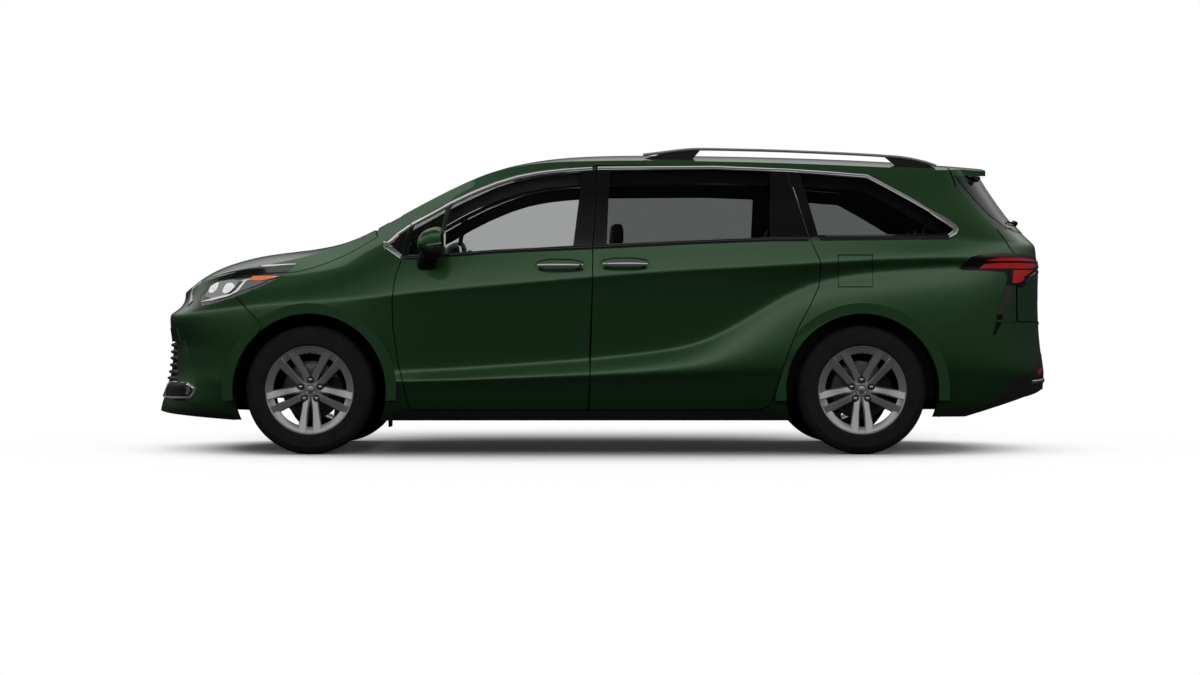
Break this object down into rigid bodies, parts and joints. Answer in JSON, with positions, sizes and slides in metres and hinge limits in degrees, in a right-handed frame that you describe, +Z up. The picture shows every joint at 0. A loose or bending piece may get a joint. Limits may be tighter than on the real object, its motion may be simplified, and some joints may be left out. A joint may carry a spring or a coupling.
{
  "type": "minivan",
  "caption": "Minivan body with opening front doors, bonnet, liftgate and fuel lid, steered front wheels and rolling wheels.",
  "frame": {"origin": "on the ground at the centre of the bounding box", "axes": "+X towards the nose, +Y towards the car's left side, +Z up"},
  "size_m": [5.1742, 2.392, 1.7229],
  "materials": {
    "body_paint": "gloss",
    "clear_glass": "clear",
    "privacy_glass": "dark tint",
    "lamp": "clear",
    "tail_lamp": "gloss",
    "black_plastic": "grained",
    "gloss_black": "gloss",
    "silver_trim": "satin",
    "interior": "matt",
    "seat_cover": "woven",
    "chassis": "matt",
    "alloy": "machined",
    "tyre": "matt"
  },
  "bodies": {
    "body": {"side_frame_left": "body_paint", "side_frame_right": "body_paint", "fender_left": "body_paint", "fender_right": "body_paint", "sliding_door_left": "body_paint", "sliding_door_right": "body_paint", "roof_panel": "body_paint", "front_bumper": "body_paint", "rear_bumper": "body_paint", "windshield": "clear_glass", "side_glass": "privacy_glass", "headlamps": "lamp", "tail_lamps": "tail_lamp", "cowl": "black_plastic", "front_grille": "black_plastic", "front_lip": "black_plastic", "arch_liners": "black_plastic", "slide_fittings": "black_plastic", "roof_rails": "silver_trim", "dashboard": "interior", "steering_wheel": "interior", "b_pillars": "interior", "front_seats": "seat_cover", "middle_seats": "seat_cover", "rear_bench": "seat_cover", "floor_pan": "chassis", "front_subframe": "chassis", "rear_axle": "chassis", "engine_block": "chassis"},
    "front_door_left_body": {"front_door_left": "body_paint", "front_glass_left": "clear_glass", "door_fittings_left": "gloss_black"},
    "front_door_right_body": {"front_door_right": "body_paint", "front_glass_right": "clear_glass", "door_fittings_right": "gloss_black"},
    "hood_body": {"hood": "body_paint"},
    "liftgate_body": {"liftgate": "body_paint", "liftgate_glass": "privacy_glass", "spoiler": "body_paint"},
    "fuel_lid_body": {"fuel_lid": "body_paint"},
    "steer_left": {"knuckle_left": "chassis"},
    "steer_right": {"knuckle_right": "chassis"},
    "wheel_front_left": {"rim_front_left": "alloy", "tyre_front_left": "tyre"},
    "wheel_front_right": {"rim_front_right": "alloy", "tyre_front_right": "tyre"},
    "wheel_rear_left": {"rim_rear_left": "alloy", "tyre_rear_left": "tyre"},
    "wheel_rear_right": {"rim_rear_right": "alloy", "tyre_rear_right": "tyre"}
  },
  "joints": [
    {"name": "front_door_left_hinge", "type": "hinge", "parent": "body", "child": "front_door_left_body", "pos_m": [1.136, 0.985, 0.6], "axis": [0, 0, -1], "range_deg": [0, 66]},
    {"name": "front_door_right_hinge", "type": "hinge", "parent": "body", "child": "front_door_right_body", "pos_m": [1.136, -0.985, 0.6], "axis": [0, 0, 1], "range_deg": [0, 66]},
    {"name": "hood_hinge", "type": "hinge", "parent": "body", "child": "hood_body", "pos_m": [1.262, 0, 1.2535], "axis": [0, -1, 0], "range_deg": [0, 52]},
    {"name": "liftgate_hinge", "type": "hinge", "parent": "body", "child": "liftgate_body", "pos_m": [-1.975, 0, 1.662], "axis": [0, 1, 0], "range_deg": [0, 80]},
    {"name": "fuel_lid_hinge", "type": "hinge", "parent": "body", "child": "fuel_lid_body", "pos_m": [-1.3025, 0.975, 1.017], "axis": [0, 0, -1], "range_deg": [0, 85]},
    {"name": "steer_left_turn", "type": "hinge", "parent": "body", "child": "steer_left", "pos_m": [1.6265, 0.77, 0.215], "axis": [0, -0.1629, 0.9866], "range_deg": [-33, 33]},
    {"name": "steer_right_turn", "type": "hinge", "parent": "body", "child": "steer_right", "pos_m": [1.6265, -0.77, 0.215], "axis": [0, 0.1629, 0.9866], "range_deg": [-33, 33]},
    {"name": "wheel_front_left_spin", "type": "hinge", "parent": "steer_left", "child": "wheel_front_left", "pos_m": [1.6265, 0.86, 0.357], "axis": [0, 1, 0], "continuous": true},
    {"name": "wheel_front_right_spin", "type": "hinge", "parent": "steer_right", "child": "wheel_front_right", "pos_m": [1.6265, -0.86, 0.357], "axis": [0, 1, 0], "continuous": true},
    {"name": "wheel_rear_left_spin", "type": "hinge", "parent": "body", "child": "wheel_rear_left", "pos_m": [-1.4335, 0.86, 0.357], "axis": [0, 1, 0], "continuous": true},
    {"name": "wheel_rear_right_spin", "type": "hinge", "parent": "body", "child": "wheel_rear_right", "pos_m": [-1.4335, -0.86, 0.357], "axis": [0, 1, 0], "continuous": true}
  ],
  "couplings": [
    {"joint": "steer_right_turn", "follows": "steer_left_turn", "ratio": 1}
  ]
}
